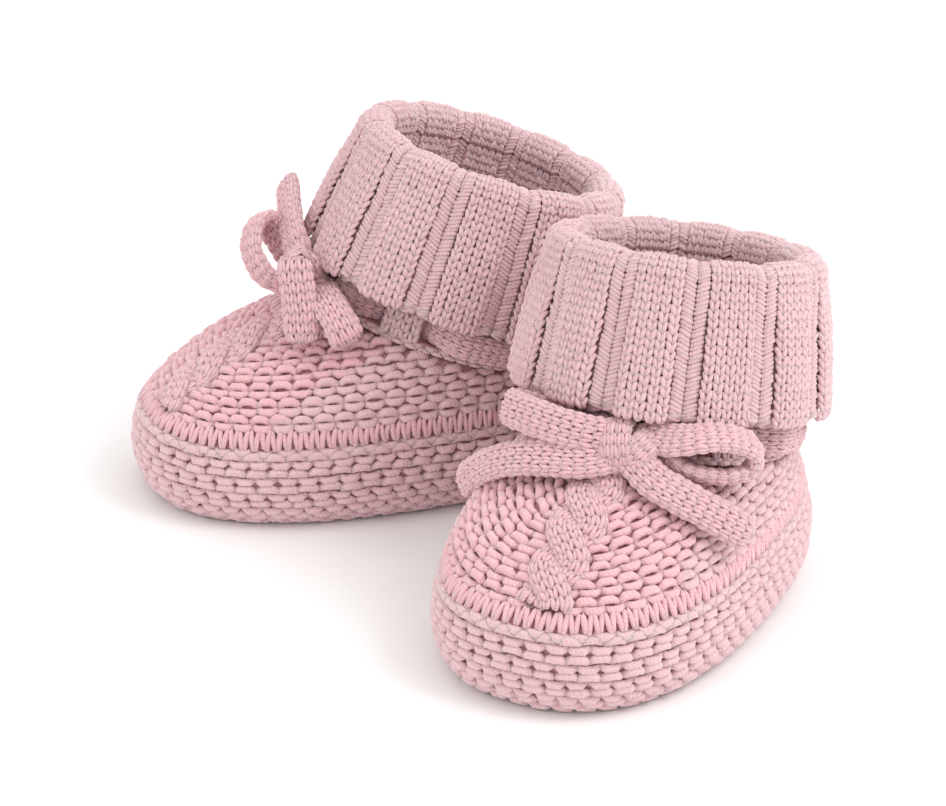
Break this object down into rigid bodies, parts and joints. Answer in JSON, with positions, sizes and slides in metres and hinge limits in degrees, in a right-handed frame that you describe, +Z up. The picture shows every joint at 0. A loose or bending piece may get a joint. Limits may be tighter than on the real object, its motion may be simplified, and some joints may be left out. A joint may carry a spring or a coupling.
{
  "type": "baby bootie",
  "caption": "Pair of knitted newborn booties with ridged soles, cabled insteps, turned-down ribbed cuffs and flat knitted cords tied in bows at the ankles.",
  "frame": {"origin": "middle of the pair's footprint, on the floor", "axes": "+Z up; the first bootie's toe points towards -Y and a little to -X, the second's towards -X and a little to -Y"},
  "size_m": [0.1454, 0.155, 0.0789],
  "materials": {
    "garter_knit": "garter-stitch cotton yarn, soft and matt",
    "stocking_knit": "smooth-stitch cotton yarn, soft and matt",
    "cable_knit": "cabled cotton yarn, soft and matt",
    "rib_knit": "wide-ribbed cotton yarn, soft and matt",
    "cord_knit": "flat tube-knitted cotton cord, soft and matt"
  },
  "bodies": {
    "first_foot": {"first_sole": "garter_knit", "first_side_wall": "garter_knit", "first_pickup_band": "stocking_knit", "first_heel_wall": "garter_knit", "first_vamp": "cable_knit", "first_ankle_band": "garter_knit", "first_leg": "rib_knit", "first_ankle_cord": "cord_knit", "first_knot": "cord_knit", "first_loop_left": "cord_knit", "first_loop_right": "cord_knit"},
    "first_cuff_body": {"first_cuff": "rib_knit"},
    "first_left_tail_body": {"first_tail_left": "cord_knit"},
    "first_right_tail_body": {"first_tail_right": "cord_knit"},
    "second_foot": {"second_sole": "garter_knit", "second_side_wall": "garter_knit", "second_pickup_band": "stocking_knit", "second_heel_wall": "garter_knit", "second_vamp": "cable_knit", "second_ankle_band": "garter_knit", "second_leg": "rib_knit", "second_ankle_cord": "cord_knit", "second_knot": "cord_knit", "second_loop_left": "cord_knit", "second_loop_right": "cord_knit"},
    "second_cuff_body": {"second_cuff": "rib_knit"},
    "second_left_tail_body": {"second_tail_left": "cord_knit"},
    "second_right_tail_body": {"second_tail_right": "cord_knit"}
  },
  "joints": [
    {"name": "first_cuff_raise", "type": "slide", "parent": "first_foot", "child": "first_cuff_body", "axis": [0.1215, 0.2285, 0.9659], "range_m": [0, 0.024]},
    {"name": "first_tail_left_swing", "type": "hinge", "parent": "first_foot", "child": "first_left_tail_body", "pos_m": [0.0274, -0.0483, 0.0421], "axis": [0.1215, 0.2285, 0.9659], "range_deg": [0, 45]},
    {"name": "first_tail_right_swing", "type": "hinge", "parent": "first_foot", "child": "first_right_tail_body", "pos_m": [0.0312, -0.0495, 0.0416], "axis": [-0.1215, -0.2285, -0.9659], "range_deg": [0, 45]},
    {"name": "second_lift", "type": "slide", "parent": "first_foot", "child": "second_foot", "axis": [0, 0, 1], "range_m": [0, 0.04]},
    {"name": "second_cuff_raise", "type": "slide", "parent": "second_foot", "child": "second_cuff_body", "axis": [0.313, 0.0897, 0.9455], "range_m": [0, 0.024]},
    {"name": "second_tail_left_swing", "type": "hinge", "parent": "second_foot", "child": "second_left_tail_body", "pos_m": [-0.0353, 0.034, 0.0524], "axis": [0.8617, 0.3919, -0.3224], "range_deg": [0, 30]},
    {"name": "second_tail_right_swing", "type": "hinge", "parent": "second_foot", "child": "second_right_tail_body", "pos_m": [-0.0375, 0.0288, 0.051], "axis": [-0.313, -0.0897, -0.9455], "range_deg": [0, 45]}
  ]
}
